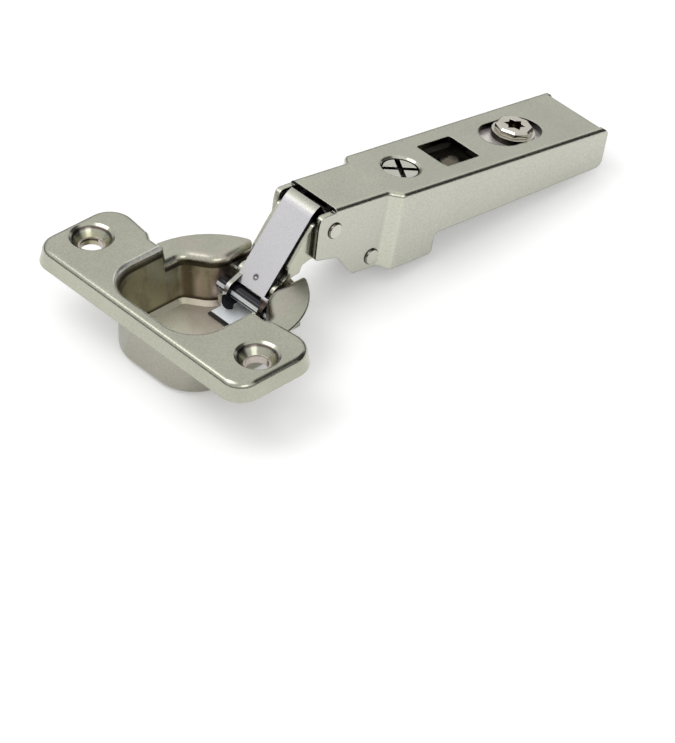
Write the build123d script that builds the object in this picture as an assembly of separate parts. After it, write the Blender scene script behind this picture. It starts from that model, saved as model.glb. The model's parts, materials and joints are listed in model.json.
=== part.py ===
"""Concealed cup hinge, opened.

Frame: origin at the centre of the 35 mm cup on the door's back face, +Z out of that face,
+X from the cup towards the cabinet, Y along the pins. Sizes are in millimetres.
"""
from build123d import *
from math import asin, atan2, cos, degrees, hypot, radians, sin
import os

# --- sheet and running gaps -------------------------------------------------------------
cup_sheet = 0.95            # wall of the pressed cup
arm_sheet = 1.15            # wall of the pressed arm
outer_link_sheet = 1.0
inner_link_sheet = 0.9
carrier_sheet = 1.2
pin_gap = 0.04              # radial gap of a turning pin
side_gap = 0.10             # gap between plates that turn beside each other

# --- cup --------------------------------------------------------------------------------
wing_height = 3.65          # top of the wing above the door
wing_length = 56.0
wing_front = -18.86
wing_rear_end = 0.96        # rear edge at the wing's two ends
wing_rear_root = -0.30      # rear edge where it meets the crescents
wing_rear_middle = -1.30    # rear edge at the bowl
wing_root_y = 17.2
wing_middle_y = 15.5
wing_front_corner = 4.2
wing_rear_corner = 5.0
wing_edge_round = 1.35
skirt_height = 2.15         # crease below which the skirt flares out
skirt_flare = 11.8          # degrees of the flare
hole_spacing = 45.0         # the two door screws
hole_offset = -9.5
hole_radius = 2.1
hole_lip_radius = 4.25
hole_lip_depth = 0.45
hole_sink_radius = 3.6
hole_sink_depth = 2.0
hole_seat_radius = 2.5
hole_bottom = 0.25
rim_radius = 17.5           # crescents fill the 35 mm bore
rim_edge_under = 0.55       # bevel under the crescents' outer edge
rim_edge_top = 0.2
crescent_top = -0.25
crescent_lip = 1.8          # rounding of the crescents' edge into the bowl
bowl_floor = -10.45         # inner face of the floor
bowl_front = -15.8          # inner face at the door's surface
bowl_half_width = 12.0
bowl_draft = 3.56           # degrees that the wall leans in towards the floor
bowl_corner = 8.2
mouth_front = -16.15        # inner face at the top of the wing
mouth_half_width = 12.2
mouth_corner = 6.3
mouth_lip = 1.15            # rounding of the wing's edge into the bowl
shoulder_x = 3.2            # where the side wall turns inward
shoulder_round = 2.5
neck_x = 7.5                # where the diagonal wall meets the slot for the links
slot_half_width = 6.2
neck_round = 5.0
tip_round = 1.2             # corner of each crescent beside the slot
sill_top = -1.9             # top of the bowl's wall under the links
floor_bevel = 0.8
floor_round_outer = 1.9

# --- pivots -----------------------------------------------------------------------------
outer_cup_pivot = (8.6, -6.1)       # x, z of the pins held by the cup
inner_cup_pivot = (12.0, -3.9)
arm_origin = (24.43, 10.1)          # x, z of the middle of the arm's front edge, on its top face
arm_slope = 9.86                    # degrees that the arm dips towards the cabinet
outer_arm_pivot = (0.23, -4.47)     # along the arm, up from its top face
inner_arm_pivot = (11.46, -13.07)
outer_cup_pin_radius = 1.5
inner_cup_pin_radius = 1.1
arm_pin_radius = 1.25
cup_pin_proud = 0.4                 # pin ends beyond the slot's outer faces
rivet_head_radius = 1.65
rivet_head_height = 0.4
rivet_head_bevel = 0.25

# --- closing spring ---------------------------------------------------------------------
spring_sheet = 0.35
spring_front = 3.7
spring_rear = 14.7
spring_half_width = 5.1
spring_gap = 0.05           # under the cam ear
spring_upturn = 2.0

# --- outer link -------------------------------------------------------------------------
strip_half_width = 3.85
strip_over_cup_pin = 1.12   # outer face above the cup pin's axis
strip_over_arm_pin = 5.2    # outer face above the arm pin's axis, and radius of its curl
strip_start = 1.8           # along the strip from the cup pin's axis
strip_curl = 31.0           # degrees of curl over the arm pin
flange_depth = 2.1
flange_start = 5.6
arm_eye_radius = 2.9
cam_radius = 3.75
cam_hub_radius = 2.65
cam_start = 116.0           # degrees from the strip's direction
cam_end = 207.0
cam_root = 3.4              # where the ear leaves the strip
near_eye_radius = 2.4
dimple_radius = 0.45
dimple_place = 4.3

# --- inner link -------------------------------------------------------------------------
cup_eye_radius = 2.0
slack_length = 1.9          # travel of the arm pin in its eye
slack_angle = 153.0
slack_gap = 0.35
arm_eye_wall = 0.85
inner_web_rear = 25.6

# --- arm --------------------------------------------------------------------------------
arm_length = 70.0
arm_front_half_width = 6.18
arm_rear_half_width = 8.17
arm_shoulder_start = 13.4
arm_shoulder_end = 15.3
arm_lug = 4.05              # side lugs in front of the web
web_front = -0.2
arm_edge_round = 0.9
wall_rear_depth = 8.3
wall_middle = (34.9, 10.5)
wall_step = (25.6, 11.0)
wall_deep = 15.4
wall_deepest = (15.0, 16.05)
wall_front_deep = (7.2, 15.6)
wall_front_shallow = (2.3, 10.8)
lug_depth = 10.0
lug_top = 0.9
side_screw_u = 22.0
side_screw_radius = 3.55
window_start = 30.0
window_length = 8.8
window_width = 8.2
rear_slot_start = 44.2
rear_slot_length = 13.8
rear_slot_width = 8.6

# --- carrier and its fastenings ---------------------------------------------------------
carrier_half_width = 6.85
carrier_front = 18.6
carrier_rear = 66.0
carrier_front_top = -3.2
carrier_rear_top = -1.3
joggle_start = 40.0
joggle_end = 43.0
carrier_rear_depth = 7.4
carrier_middle_depth = 9.4
carrier_hook_depth = 13.8
carrier_hook_rear = 25.0
hook_pin = (20.6, -12.0)
hook_pin_radius = 1.5
depth_travel = (-3.0, 1.5)
screw_neck_radius = 2.1
screw_neck_gap = 0.15
screw_foot_radius = 3.0
screw_foot_height = 1.0
screw_sunk = 0.45
screw_hole_bevel = 0.4
cross_slot_width = 1.05
cross_slot_depth = 1.0
cross_slot_angles = (-32, 58)
depth_screw_u = 52.0
depth_screw_radius = 2.0
depth_head_flats = 6.8
depth_head_height = 1.3
star_outer_radius = 2.15
star_inner_radius = 1.35
star_depth = 1.0
washer_radius = 4.2
washer_height = 1.15
nut_side = 8.0
nut_height = 2.0
depth_screw_end = -5.4
rivet_u = 36.3
rivet_shank_radius = 1.5
rivet_dome_radius = 3.0
rivet_dome_height = 1.2
rivet_flat_radius = 1.0

# --- latch ------------------------------------------------------------------------------
lever_pivot = (58.0, -5.2)
lever_pin_radius = 1.4
lever_half_width = 5.4
lever_sheet = 1.0
lever_front = 46.5
lever_arm_top = -6.7
lever_tab_end = 68.3
lever_tab_top = -4.1
lever_jaw_bottom = -10.2
latch_leaf_sheet = 0.4
latch_leaf_half_width = 3.2
latch_leaf_front = 33.0
latch_leaf_rear = 48.6
seat_gap = 0.05

LONG = wing_length + arm_length     # reach of a cut that goes right through


def turn(point, angle):
    """Turn a side-view point about the origin."""
    c, s = cos(radians(angle)), sin(radians(angle))
    return (point[0] * c - point[1] * s, point[0] * s + point[1] * c)


def add(p, q):
    """Add two side-view points."""
    return (p[0] + q[0], p[1] + q[1])


def arm_to_world(point):
    """Side-view place of a point given along the arm and up from its top face."""
    return add(arm_origin, turn(point, -arm_slope))


ARM_FRAME = Location((arm_origin[0], 0, arm_origin[1]), (0, arm_slope, 0))
ARM_PIN_B = arm_to_world(outer_arm_pivot)
ARM_PIN_D = arm_to_world(inner_arm_pivot)


def slab(outline, low, high):
    """Side-view outline (x, z) made solid between two places across the width."""
    return Plane.XZ.offset(-high) * extrude(outline, high - low)


def both_sides(outline, inner, outer):
    """The same side-view outline as a left and a right wall."""
    return slab(outline, inner, outer) + slab(outline, -outer, -inner)


def polygon(points):
    """Closed outline through the points."""
    return make_face(Polyline(*points, close=True))


def rounded(points, rounds):
    """Closed outline with some corners rounded: rounds maps a corner's index to its radius."""
    outline = polygon(points)
    for index, radius in rounds.items():
        corner = outline.vertices().sort_by_distance(Vector(*points[index]))[0]
        outline = fillet(corner, radius)
    return outline


def disc(centre, radius):
    """Side-view disc."""
    return Pos(*centre) * Circle(radius)


def cross_pin(centre, radius, half_length):
    """Plain pin across the width."""
    return slab(disc(centre, radius), -half_length, half_length)


# --- cup --------------------------------------------------------------------------------
def mirrored_outline(half):
    """Closed plan outline from its points on the +Y side."""
    return half + [(x, -y) for x, y in reversed(half)]


def bowl_plan():
    """Inner plan at the door's surface: round front, shoulders that run on into the links' slot."""
    past_neck = 1.2
    half = [
        (bowl_front, bowl_half_width),
        (shoulder_x, bowl_half_width),
        (shoulder_x + past_neck * (neck_x - shoulder_x),
         bowl_half_width + past_neck * (slot_half_width - bowl_half_width)),
    ]
    return rounded(mirrored_outline(half), {
        0: bowl_corner, 5: bowl_corner, 1: shoulder_round, 4: shoulder_round})


def neck_edges(bowl):
    """Upright edges where the diagonal walls meet the slot."""
    upright = bowl.edges().filter_by(lambda edge: abs((edge % 0.5).Z) > 0.9)
    return [edge for edge in upright if neck_x - 2.5 < edge.center().X < neck_x + 1.0]


def bowl_block(grow):
    """Bowl volume below the door's surface: its drafted part and the straight slot for the links."""
    depth = -bowl_floor + grow
    plan = bowl_plan()
    if grow:
        plan = offset(plan, grow)
    bowl = extrude(plan, depth, dir=(0, 0, -1))
    walls = bowl.faces().filter_by(lambda face: abs(face.normal_at().Z) < 0.5 and face.center().X < neck_x)
    bowl = draft(walls, Plane.XY, -bowl_draft)
    slot = Pos(LONG / 2, 0, -depth / 2) * Box(LONG, 2 * (slot_half_width + grow), depth)
    return bowl, slot


def mouth_block():
    """Mouth of the bowl through the wing, from the door's surface up, its top edge flared."""
    rear = LONG / 2
    door = rounded([(bowl_front, bowl_half_width), (rear, bowl_half_width),
                    (rear, -bowl_half_width), (bowl_front, -bowl_half_width)],
                   {0: bowl_corner, 3: bowl_corner})
    top = rounded([(mouth_front, mouth_half_width), (rear, mouth_half_width),
                   (rear, -mouth_half_width), (mouth_front, -mouth_half_width)],
                  {0: mouth_corner, 3: mouth_corner})
    mouth = loft([door.face(), (Pos(0, 0, wing_height) * top).face()], ruled=True)
    return mouth + flare(mouth, wing_height, mouth_lip)


def flare(opening, top, radius):
    """What a rounded top edge takes away around an opening."""
    height = 2 * radius
    sheet = Pos(0, 0, top - height / 2) * Box(LONG, LONG, height)
    pierced = sheet - opening
    edges = pierced.faces().filter_by(Plane.XY).sort_by(Axis.Z)[-1].edges()
    inside = [edge for edge in edges if max(abs(edge.center().X), abs(edge.center().Y)) < LONG / 2 - 1]
    return sheet - fillet(inside, radius)


def wing_outline():
    """Plan of the wing, waisted at the rear where the crescents begin."""
    end = wing_length / 2
    half = [
        (wing_front, end),
        (wing_rear_end, end),
        (wing_rear_root, wing_root_y),
        (wing_rear_middle, wing_middle_y),
    ]
    return rounded(mirrored_outline(half), {
        0: wing_front_corner, 7: wing_front_corner, 1: wing_rear_corner, 6: wing_rear_corner})


def wing_block(outline, height):
    """Solid under the wing's outline, flared out below the crease."""
    upper = Pos(0, 0, skirt_height) * extrude(outline, height - skirt_height)
    lower = Pos(0, 0, skirt_height) * extrude(outline, skirt_height, dir=(0, 0, -1), taper=-skirt_flare)
    return upper, lower


def wing_shell():
    """Wing plate with its turned-down skirt."""
    upper, lower = wing_block(wing_outline(), wing_height)
    upper = fillet(upper.faces().sort_by(Axis.Z)[-1].edges(), wing_edge_round)
    hollow, flared = wing_block(offset(wing_outline(), -cup_sheet), wing_height - cup_sheet)
    return upper + lower - hollow - flared


def crescent_outline():
    """Plan of the 35 mm disc with the links' slot open at the rear, its two tips rounded."""
    slot = Pos(neck_x + LONG / 2, 0) * Rectangle(LONG, 2 * slot_half_width)
    outline = Circle(rim_radius) - slot
    tips = outline.vertices().filter_by(lambda corner: corner.X > neck_x + tip_round)
    return fillet(tips, tip_round)


def crescents():
    """Flat crescents that fill the 35 mm bore, bevelled under their outer edge."""
    x_start = wing_rear_middle - cup_sheet
    plate = Pos(0, 0, crescent_top - cup_sheet) * extrude(crescent_outline(), cup_sheet)
    plate = chamfer(plate.faces().sort_by(Axis.Z)[-1].edges(), rim_edge_top)
    plate = chamfer(plate.faces().sort_by(Axis.Z)[0].edges(), rim_edge_under)
    plate = plate & (Pos(x_start + LONG / 2, 0, 0) * Box(LONG, LONG, LONG))
    rise = Pos(wing_rear_middle - cup_sheet / 2, 0, (wing_height + crescent_top - cup_sheet) / 2 - 0.5)
    step_wall = rise * Box(cup_sheet, 2 * wing_middle_y, wing_height - crescent_top + cup_sheet - 1.0)
    return plate, step_wall


def screw_dimple(y):
    """Dished seat of one door screw: the boss to add and the hole to cut."""
    place = Pos(hole_offset, y, 0)
    boss_height = wing_height - hole_bottom - cup_sheet / 2
    boss = place * Pos(0, 0, hole_bottom + boss_height / 2) * Cone(
        hole_radius + cup_sheet, hole_sink_radius + 0.6, boss_height)
    lip = place * Pos(0, 0, wing_height - hole_lip_depth / 2) * Cone(
        hole_sink_radius, hole_lip_radius, hole_lip_depth)
    sink = place * Pos(0, 0, wing_height - (hole_lip_depth + hole_sink_depth) / 2) * Cone(
        hole_seat_radius, hole_sink_radius, hole_sink_depth - hole_lip_depth)
    hole = place * Cylinder(hole_radius, 3 * wing_height)
    return boss, lip + sink + hole


def bowl_openings():
    """Everything that is open inside the bowl: its depth, the links' slot and both flared edges."""
    bowl, slot = bowl_block(0)
    deep = bowl + slot
    deep = fillet(neck_edges(deep), neck_round)
    floor = deep.faces().sort_by(Axis.Z)[0]
    deep = chamfer(floor.edges().filter_by(lambda edge: edge.center().X < neck_x), floor_bevel)
    lowered = Pos(0, 0, crescent_top) * deep
    lip = flare(lowered, crescent_top, crescent_lip) & (
        Pos(wing_rear_middle + LONG / 2, 0, 0) * Box(LONG, LONG, LONG))
    ahead = Pos(wing_rear_middle - LONG / 2 + 0.5, 0, 0) * Box(LONG, LONG, LONG)
    return deep, lip, mouth_block() & ahead


def make_cup():
    """The pressed cup: wing, bowl and crescents from one sheet."""
    bowl, slot = bowl_block(cup_sheet)
    bowl = fillet(bowl.faces().sort_by(Axis.Z)[0].edges().filter_by(
        lambda edge: edge.center().X < shoulder_x), floor_round_outer)
    within_rim = Pos(0, 0, crescent_top - LONG / 2) * Cylinder(rim_radius - rim_edge_under, LONG)
    plate, step_wall = crescents()
    collar = Pos(0, 0, crescent_top) * extrude(
        offset(bowl_plan(), cup_sheet), wing_height - cup_sheet / 2 - crescent_top)
    collar = collar & (Pos(wing_rear_middle - LONG / 2, 0, 0) * Box(LONG, LONG, LONG))
    body = wing_shell() + collar + (bowl & within_rim) + (slot & within_rim) + plate + step_wall

    cutters = []
    for side in (-1, 1):
        boss, hole = screw_dimple(side * hole_spacing / 2)
        body += boss
        cutters.append(hole)
    body = body - cutters[0] - cutters[1]

    deep, lip, mouth = bowl_openings()
    above_sill = deep & (Pos(0, 0, sill_top + LONG / 2) * Cylinder(LONG, LONG))
    behind_wall = Cylinder(rim_radius - rim_edge_under - cup_sheet, 2 * LONG)
    beside_tips = Pos(neck_x + tip_round + LONG / 2, 0) * Rectangle(LONG, LONG) - crescent_outline()
    beside_tips = Pos(0, 0, sill_top) * extrude(beside_tips, LONG)
    body = body - (deep & behind_wall) - above_sill - beside_tips - lip - mouth

    for centre, radius in ((outer_cup_pivot, outer_cup_pin_radius), (inner_cup_pivot, inner_cup_pin_radius)):
        body -= slab(disc(centre, radius), -slot_half_width - 2 * cup_sheet, slot_half_width + 2 * cup_sheet)
    return body


def make_cup_pin(centre, radius):
    """Pin held in both walls of the bowl's slot."""
    return cross_pin(centre, radius, slot_half_width + cup_sheet + cup_pin_proud)


def make_cup_spring():
    """Flat spring on the bowl's floor under the cam ear, its rear end turned up."""
    top = outer_cup_pivot[1] - cam_radius - spring_gap
    line = rounded([
        (spring_front, top),
        (spring_rear, top),
        (spring_rear, top + spring_upturn),
        (spring_rear + spring_sheet, top + spring_upturn),
        (spring_rear + spring_sheet, top - spring_sheet),
        (spring_front, top - spring_sheet),
    ], {1: 0.6, 4: 0.9})
    return slab(line, -spring_half_width, spring_half_width)


# --- outer link -------------------------------------------------------------------------
def outer_link_frame():
    """Place and angle of the strip, and the arm pin's place in the strip's own frame."""
    span = (ARM_PIN_B[0] - outer_cup_pivot[0], ARM_PIN_B[1] - outer_cup_pivot[1])
    length = hypot(*span)
    lean = degrees(asin((strip_over_arm_pin - strip_over_cup_pin) / length))
    angle = degrees(atan2(span[1], span[0])) + lean
    return angle, turn(span, -angle)


def sector(centre, radius, start, end):
    """Side-view sector of a disc, between two angles less than 180 degrees apart."""
    reach = 3 * radius
    middle = (start + end) / 2
    wedge = polygon([centre] + [add(centre, turn((reach, 0), a)) for a in (start, middle, end)])
    return disc(centre, radius) & wedge


def make_outer_link():
    """Folded strip with side flanges, eyes for the arm pin, a cam ear and a small eye at the cup."""
    angle, arm_pin = outer_link_frame()
    place = Location((outer_cup_pivot[0], 0, outer_cup_pivot[1]), (0, -angle, 0))
    top = strip_over_cup_pin
    inner = top - outer_link_sheet
    curl = sector(arm_pin, strip_over_arm_pin, 90 - strip_curl, 92)
    straight = polygon([(strip_start, inner), (arm_pin[0], inner), (arm_pin[0], top), (strip_start, top)])
    strip = straight + (curl - disc(arm_pin, strip_over_arm_pin - outer_link_sheet))
    strip = slab(strip, -strip_half_width, strip_half_width)

    flange_low = top - flange_depth
    side = polygon([
        (flange_start, inner + 0.2),
        (flange_start + 0.8, flange_low),
        (arm_pin[0] - 5.2, flange_low),
        (arm_pin[0] - arm_eye_radius, arm_pin[1]),
        (arm_pin[0] + arm_eye_radius, arm_pin[1]),
        add(arm_pin, turn((arm_eye_radius, 0), 80 - strip_curl)),
        add(arm_pin, turn((strip_over_arm_pin, 0), 90 - strip_curl)),
        (arm_pin[0], top),
        (flange_start, top),
    ])
    side = side & (polygon([(0, -LONG), (arm_pin[0], -LONG), (arm_pin[0], LONG), (0, LONG)])
                   + disc(arm_pin, strip_over_arm_pin))
    side = side + disc(arm_pin, arm_eye_radius)
    flanges = both_sides(side, strip_half_width - outer_link_sheet, strip_half_width)

    cam = disc((0, 0), cam_hub_radius) + sector((0, 0), cam_radius, cam_start, cam_end)
    cam = cam + polygon([(0, 0), turn((cam_hub_radius, 0), 70), (cam_root, top), (cam_root, inner)])
    cam_ear = slab(cam, strip_half_width - outer_link_sheet, strip_half_width)

    near_inner = strip_half_width + side_gap + inner_link_sheet + side_gap
    near_outer = near_inner + outer_link_sheet
    lug = polygon([
        (strip_start - 0.9, inner),
        (strip_start + 0.4, inner),
        (strip_start + 0.4, top),
        (strip_start - 0.9, top),
    ])
    near_lug = slab(lug, -near_outer, -strip_half_width + 0.5)
    near_eye = slab(disc((0, 0), near_eye_radius), -near_outer, -near_inner)

    link = strip + flanges + cam_ear + near_lug + near_eye
    link -= slab(disc((0, 0), outer_cup_pin_radius + pin_gap), -LONG, LONG)
    link -= slab(disc(arm_pin, arm_pin_radius + pin_gap), -LONG, LONG)
    dimple = Pos(dimple_place, 0, top + 0.2) * Sphere(dimple_radius)
    return place * (link - dimple)


# --- inner link -------------------------------------------------------------------------
def make_inner_link():
    """Gooseneck link: two side plates joined by a web along their lower edge."""
    c, d = inner_cup_pivot, ARM_PIN_D
    slack = turn((slack_length / 2, 0), slack_angle)
    eye_centre = add(d, slack)
    hole_radius_d = arm_pin_radius + slack_gap
    plate = rounded([
        (c[0] + 0.4, c[1] + 1.9),
        (c[0] + 2.1, c[1] + 5.0),
        (c[0] + 5.1, c[1] + 8.8),
        (c[0] + 7.9, c[1] + 12.0),
        (ARM_PIN_B[0] - 2.6, ARM_PIN_B[1] + 2.2),
        (ARM_PIN_B[0] - 1.9, ARM_PIN_B[1] - 1.2),
        (ARM_PIN_B[0] + 1.1, ARM_PIN_B[1] - 2.2),
        (eye_centre[0] - 1.0, eye_centre[1] + 3.4),
        (eye_centre[0], eye_centre[1] - 2.2),
        (d[0] - 5.3, d[1] + 0.5),
        (d[0] - 7.5, d[1] + 2.6),
        (23.4, 0.45),
        (21.4, 0.8),
        (18.3, 0.4),
        (17.3, 0.1),
        (16.7, -1.3),
        (14.4, -1.5),
        (c[0] + 1.7, c[1] + 0.9),
    ], {3: 1.2, 4: 1.0, 5: 1.2, 11: 1.2, 13: 1.0, 14: 0.4, 15: 0.4, 16: 0.8})
    eye = Pos(*eye_centre) * Rot(0, 0, slack_angle) * SlotCenterToCenter(
        slack_length, 2 * (hole_radius_d + arm_eye_wall))
    plate = plate + disc(c, cup_eye_radius) + eye

    shift = Pos(0.25, inner_link_sheet)
    window = polygon([(16.5, -LONG), (inner_web_rear, -LONG), (inner_web_rear, 3.0), (16.5, 3.0)])
    web = (plate - shift * plate) & window
    closed_place = add(c, turn((outer_cup_pivot[0] - c[0], outer_cup_pivot[1] - c[1]), -inner_swing()))
    plate = plate - disc(closed_place, outer_cup_pin_radius + 0.15)
    slot = Pos(*eye_centre) * Rot(0, 0, slack_angle) * SlotCenterToCenter(slack_length, 2 * hole_radius_d)
    plate = plate - slot - disc(c, inner_cup_pin_radius + pin_gap)

    inner = strip_half_width + side_gap
    return both_sides(plate, inner, inner + inner_link_sheet) + slab(web, -inner - 0.2, inner + 0.2)


def inner_swing():
    """Degrees that the inner link turns from open to closed."""
    return 125.96


# --- arm --------------------------------------------------------------------------------
def arm_plan(shrink):
    """Plan of the arm beyond both its ends, narrow in front of its shoulders."""
    front = arm_front_half_width - shrink
    back = arm_rear_half_width - shrink
    half = [
        (-2 * arm_lug, front),
        (arm_shoulder_start + shrink / 3, front),
        (arm_shoulder_end + shrink / 3, back),
        (arm_length + 2 * arm_lug, back),
    ]
    return rounded(mirrored_outline(half), {1: 1.2, 2: 1.2, 5: 1.2, 6: 1.2})


def arm_side():
    """Side view of the arm's walls, along the arm and up from its top face."""
    return rounded([
        (web_front, 0),
        (arm_length, 0),
        (arm_length, -wall_rear_depth),
        (wall_middle[0], -wall_middle[1]),
        (wall_step[0], -wall_step[1]),
        (wall_step[0] + 0.15, -wall_deep),
        (wall_deepest[0], -wall_deepest[1]),
        (arm_shoulder_start + 0.4, -wall_front_deep[1]),
        (wall_front_deep[0], -wall_front_deep[1]),
        (wall_front_shallow[0], -wall_front_shallow[1]),
        (-arm_lug + 0.65, -lug_depth),
        (-arm_lug, -lug_depth / 3),
        (-arm_lug + 0.1, -lug_top),
        (web_front, -lug_top + 0.2),
    ], {1: 1.5, 2: 1.5, 4: 1.2, 5: 0.9, 8: 1.2, 9: 1.4, 10: 0.7, 12: 1.2})


def make_arm():
    """Pressed channel arm with its screw hole, window and slot."""
    walls = slab(arm_side(), -arm_rear_half_width, arm_rear_half_width)
    block = Pos(0, 0, -LONG) * extrude(arm_plan(0), LONG)
    block = fillet(block.faces().sort_by(Axis.Z)[-1].edges(), arm_edge_round)
    arm = walls & block
    hollow = Pos(0, 0, -LONG - arm_sheet) * extrude(arm_plan(arm_sheet), LONG)
    front = Pos(web_front - LONG / 2, 0, 0) * Box(LONG, 2 * (arm_front_half_width - arm_sheet), LONG)
    rear = Pos(arm_length - 1.5 + LONG / 2, 0, 0) * Box(LONG, 2 * (arm_rear_half_width - arm_sheet), LONG)
    arm = arm - hollow - front - rear

    screw_hole = side_screw_radius + side_gap / 2
    arm -= Pos(side_screw_u, 0, 0) * Cylinder(screw_hole, 4)
    arm -= Pos(side_screw_u, 0, -screw_hole_bevel / 2) * Cone(
        screw_hole, screw_hole + screw_hole_bevel, screw_hole_bevel)
    window = Rectangle(window_length, window_width)
    window = fillet(window.vertices(), 0.5)
    arm -= Pos(window_start + window_length / 2, 0, -2) * extrude(window, 4)
    slot = SlotOverall(rear_slot_length, rear_slot_width)
    arm -= Pos(rear_slot_start + rear_slot_length / 2, 0, -2) * extrude(slot, 4)
    for centre in (outer_arm_pivot, inner_arm_pivot):
        arm -= slab(disc(centre, arm_pin_radius), -LONG, LONG)
    return ARM_FRAME * arm


def make_arm_pin(centre):
    """Pin riveted over both walls of the arm."""
    pin = slab(disc(centre, arm_pin_radius), -arm_front_half_width, arm_front_half_width)
    for side in (-1, 1):
        low, high = sorted((side * arm_front_half_width, side * (arm_front_half_width + rivet_head_height)))
        head = slab(disc(centre, rivet_head_radius), low, high)
        outer_face = head.faces().sort_by(Axis.Y)[-1 if side > 0 else 0]
        pin += chamfer(outer_face.edges(), rivet_head_bevel)
    return ARM_FRAME * pin


# --- carrier ----------------------------------------------------------------------------
def carrier_side():
    """Side view of the carrier's walls."""
    return rounded([
        (carrier_front, carrier_front_top),
        (joggle_start, carrier_front_top),
        (joggle_end, carrier_rear_top),
        (carrier_rear, carrier_rear_top),
        (carrier_rear, -carrier_rear_depth),
        (wall_middle[0], -carrier_middle_depth),
        (carrier_hook_rear + 1.3, -carrier_middle_depth - 0.5),
        (carrier_hook_rear, -carrier_hook_depth),
        (carrier_front, -carrier_hook_depth),
    ], {1: 1.0, 2: 1.0, 4: 1.5, 6: 1.0, 7: 1.2, 8: 1.5})


def make_carrier():
    """Inner channel that clips to a mounting plate and slides in the arm."""
    front_under = carrier_front_top - carrier_sheet
    rear_under = carrier_rear_top - carrier_sheet
    carrier = slab(carrier_side(), -carrier_half_width, carrier_half_width)
    hollow = rounded([
        (0, front_under),
        (joggle_start + 0.4, front_under),
        (joggle_end + 0.4, rear_under),
        (arm_length + 5, rear_under),
        (arm_length + 5, -LONG),
        (0, -LONG),
    ], {1: 0.6, 2: 1.6})
    inner = carrier_half_width - carrier_sheet
    carrier -= slab(hollow, -inner, inner)

    neck_half = screw_neck_radius + screw_neck_gap
    neck_rear = side_screw_u - depth_travel[0]
    carrier -= Pos((carrier_front - 2 + neck_rear) / 2, 0, front_under) * Box(
        neck_rear - carrier_front + 2, 2 * neck_half, 4 * carrier_sheet)
    carrier -= Pos(neck_rear, 0, front_under) * Cylinder(neck_half, 4 * carrier_sheet)
    carrier -= Pos(rivet_u, 0, front_under) * Cylinder(rivet_shank_radius, 4 * carrier_sheet)
    carrier -= Pos(depth_screw_u, 0, rear_under) * Cylinder(depth_screw_radius + pin_gap, 4 * carrier_sheet)
    carrier -= slab(disc(hook_pin, hook_pin_radius), -LONG, LONG)
    carrier -= slab(disc(lever_pivot, lever_pin_radius), -LONG, LONG)
    return ARM_FRAME * carrier


def make_side_screw():
    """Side adjusting screw: slotted disc in the arm's web, neck and foot that hold the carrier."""
    top = -screw_sunk
    disc_bottom = -arm_sheet - 0.35
    foot_top = carrier_front_top - carrier_sheet - side_gap
    head = Pos(0, 0, disc_bottom) * extrude(Circle(side_screw_radius), top - disc_bottom)
    head = chamfer(head.faces().sort_by(Axis.Z)[-1].edges(), 0.25)
    neck = Pos(0, 0, foot_top - 0.5) * extrude(Circle(screw_neck_radius), disc_bottom - foot_top + 1.0)
    foot = Pos(0, 0, foot_top - screw_foot_height) * extrude(Circle(screw_foot_radius), screw_foot_height)
    screw = head + neck + foot
    for angle in cross_slot_angles:
        screw -= Pos(0, 0, top) * Rot(0, 0, angle) * Box(LONG, cross_slot_width, 2 * cross_slot_depth)
    return ARM_FRAME * (Pos(side_screw_u, 0, 0) * screw)


def make_depth_screw():
    """Depth adjusting screw: faceted head with a star recess, and a plain shank."""
    washer_top = carrier_rear_top + seat_gap + washer_height
    head = Pos(0, 0, washer_top + seat_gap) * extrude(
        RegularPolygon(depth_head_flats / 2, 8, major_radius=False), depth_head_height)
    head = chamfer(head.faces().sort_by(Axis.Z)[-1].edges(), 0.35)
    star_points = []
    for index in range(12):
        radius = star_outer_radius if index % 2 == 0 else star_inner_radius
        star_points.append(turn((radius, 0), 30 * index + 10))
    head_top = washer_top + seat_gap + depth_head_height
    head -= Pos(0, 0, head_top - star_depth) * extrude(polygon(star_points), 2 * star_depth)
    shank = Pos(0, 0, depth_screw_end) * extrude(
        Circle(depth_screw_radius), washer_top + seat_gap - depth_screw_end + 0.1)
    shank = chamfer(shank.faces().sort_by(Axis.Z)[0].edges(), 0.4)
    return ARM_FRAME * (Pos(depth_screw_u, 0, 0) * (head + shank))


def make_depth_washer():
    """Round washer under the depth screw's head, guided by the arm's slot."""
    washer = Pos(0, 0, carrier_rear_top + seat_gap) * extrude(
        Circle(washer_radius) - Circle(depth_screw_radius + pin_gap), washer_height)
    washer = chamfer(washer.edges().filter_by(GeomType.CIRCLE).sort_by(Axis.Z)[-1], 0.2)
    return ARM_FRAME * (Pos(depth_screw_u, 0, 0) * washer)


def make_depth_nut():
    """Square nut under the carrier's web."""
    top = carrier_rear_top - carrier_sheet - seat_gap
    nut = Pos(0, 0, top - nut_height) * extrude(
        Rectangle(nut_side, nut_side) - Circle(depth_screw_radius + pin_gap), nut_height)
    nut = chamfer(nut.edges().filter_by(Axis.Z), 0.5)
    return ARM_FRAME * (Pos(depth_screw_u, 0, 0) * nut)


def make_hook_pin():
    """Front cross pin that hooks into the mounting plate."""
    return ARM_FRAME * cross_pin(hook_pin, hook_pin_radius, carrier_half_width)


# --- latch ------------------------------------------------------------------------------
def make_lever_pin():
    """Pin that the latch lever turns on."""
    return ARM_FRAME * cross_pin(lever_pivot, lever_pin_radius, carrier_half_width)


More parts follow.
